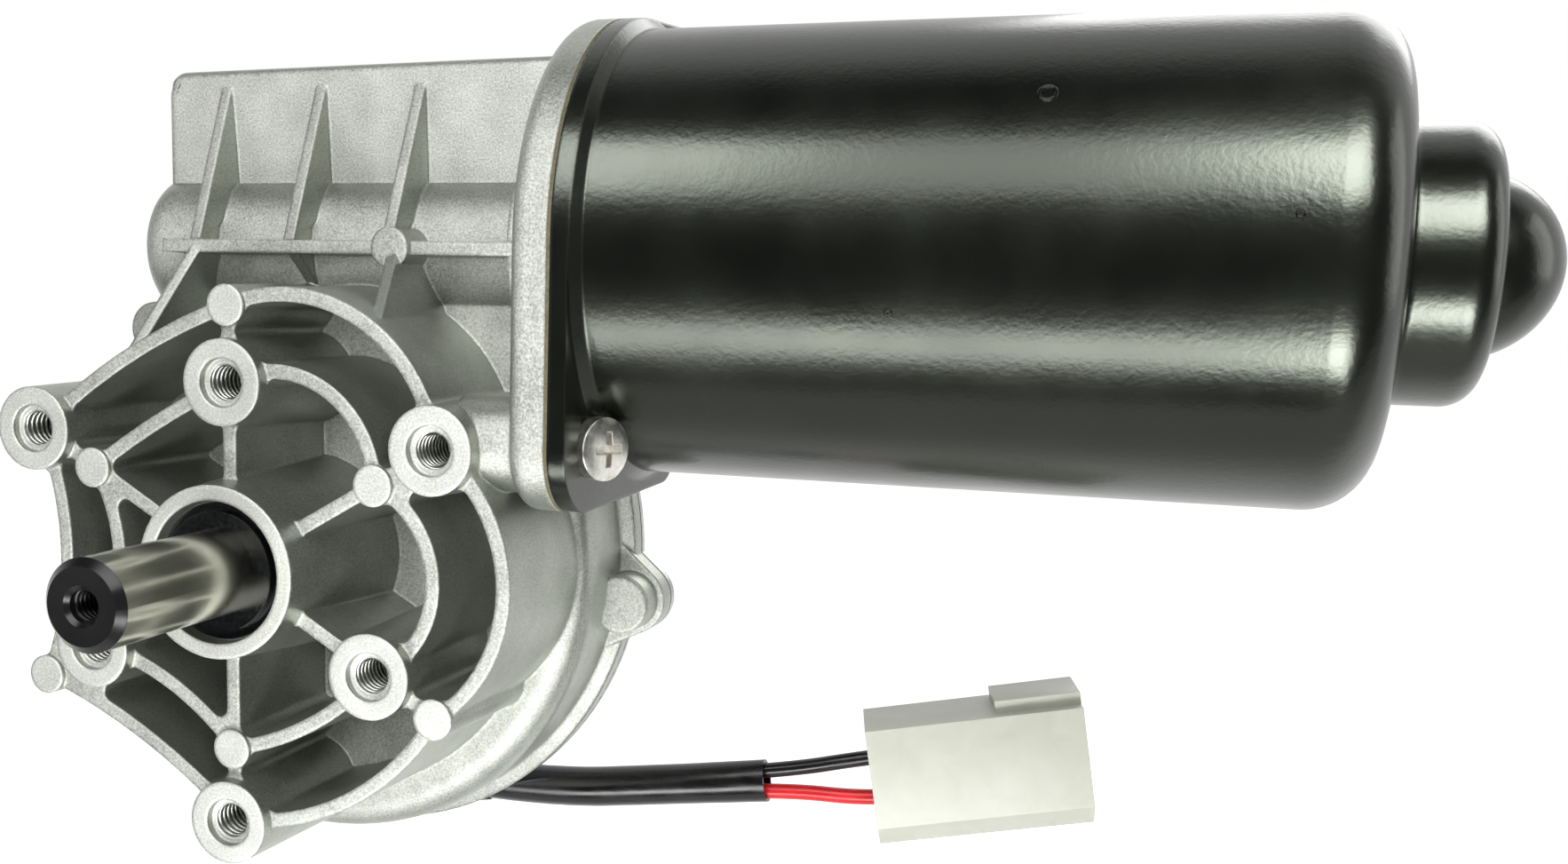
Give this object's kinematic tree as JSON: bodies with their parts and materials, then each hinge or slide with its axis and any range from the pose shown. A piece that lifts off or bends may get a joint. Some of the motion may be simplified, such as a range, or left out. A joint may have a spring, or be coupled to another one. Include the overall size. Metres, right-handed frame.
{
  "type": "wiper motor",
  "caption": "Worm-geared electric wiper motor: ribbed cast gearbox with tapped bosses, plain output shaft, drawn motor can and a short lead with a plug.",
  "frame": {"origin": "centre of the plane of the six tapped bosses, on the axis of the output shaft", "axes": "-Y along the output shaft, out of the gearbox; +X along the motor, from the blind end of the worm towards the motor can; +Z from the output shaft towards the motor axis"},
  "size_m": [0.2137, 0.0956, 0.1284],
  "materials": {
    "cast_aluminium": "die-cast, bare, fine grain",
    "black_paint": "semi-gloss black paint on drawn steel",
    "zinc_sheet": "zinc-plated pressed steel",
    "zinc_screws": "zinc-plated",
    "ground_steel": "ground, bare",
    "spring_steel": "black oxide",
    "bearing_steel": "polished",
    "bronze": "sintered bronze, oiled",
    "black_rubber": "matte",
    "gasket_paper": "pressed fibre",
    "gear_plastic": "natural moulded acetal",
    "black_plastic": "glass-filled nylon",
    "ferrite": "sintered ferrite",
    "core_steel": "stacked laminations",
    "copper": "enamelled winding wire and segments",
    "brass_sheet": "bare",
    "carbon": "copper-graphite",
    "black_pvc": "soft PVC",
    "red_pvc": "soft PVC",
    "natural_nylon": "unfilled nylon, slightly see-through"
  },
  "bodies": {
    "housing": {"gearbox_housing": "cast_aluminium", "rear_cover": "zinc_sheet", "cover_gasket": "gasket_paper", "cover_screws": "zinc_screws", "front_bush": "bronze", "rear_bush": "bronze", "shaft_seal": "black_rubber", "worm_end_bush": "bronze", "thrust_pad": "bearing_steel", "motor_can": "black_paint", "flange_gasket": "gasket_paper", "motor_screws": "zinc_screws", "spring_washers": "zinc_screws", "field_magnets": "ferrite", "magnet_springs": "spring_steel", "bearing_outer_ring": "bearing_steel", "tail_bush": "bronze", "bush_clip": "spring_steel", "tail_button": "black_plastic", "brush_plate": "black_plastic", "brush_tubes": "brass_sheet", "brush_spring_top": "spring_steel", "brush_spring_bottom": "spring_steel", "cable_grommet": "black_rubber", "lead_sleeve": "black_pvc", "black_wire": "black_pvc", "red_wire": "red_pvc", "connector_housing": "natural_nylon", "connector_tabs": "brass_sheet"},
    "output": {"output_shaft": "ground_steel", "worm_wheel": "gear_plastic", "wheel_hub": "ground_steel", "retaining_ring": "spring_steel", "front_washer": "spring_steel", "rear_washer": "zinc_screws"},
    "rotor": {"armature_shaft": "ground_steel", "armature_core": "core_steel", "armature_windings": "copper", "commutator": "copper", "bearing_inner_ring": "bearing_steel", "bearing_balls": "bearing_steel"},
    "brush_top": {"brush_top": "carbon"},
    "brush_bottom": {"brush_bottom": "carbon"}
  },
  "joints": [
    {"name": "rotor_spin", "type": "hinge", "parent": "housing", "child": "rotor", "pos_m": [0, 0.033, 0.045], "axis": [1, 0, 0], "continuous": true},
    {"name": "output_spin", "type": "hinge", "parent": "housing", "child": "output", "pos_m": [0, 0, 0], "axis": [0, -1, 0], "continuous": true},
    {"name": "brush_top_slide", "type": "slide", "parent": "housing", "child": "brush_top", "axis": [0, 0, 1], "range_m": [0, 0.004], "stiffness_N_per_m": 300, "springref_m": -0.004, "deforming": ["brush_spring_top"]},
    {"name": "brush_bottom_slide", "type": "slide", "parent": "housing", "child": "brush_bottom", "axis": [0, 0, -1], "range_m": [0, 0.004], "stiffness_N_per_m": 300, "springref_m": -0.004, "deforming": ["brush_spring_bottom"]}
  ],
  "couplings": [
    {"joint": "output_spin", "follows": "rotor_spin", "ratio": 0.015873}
  ]
}
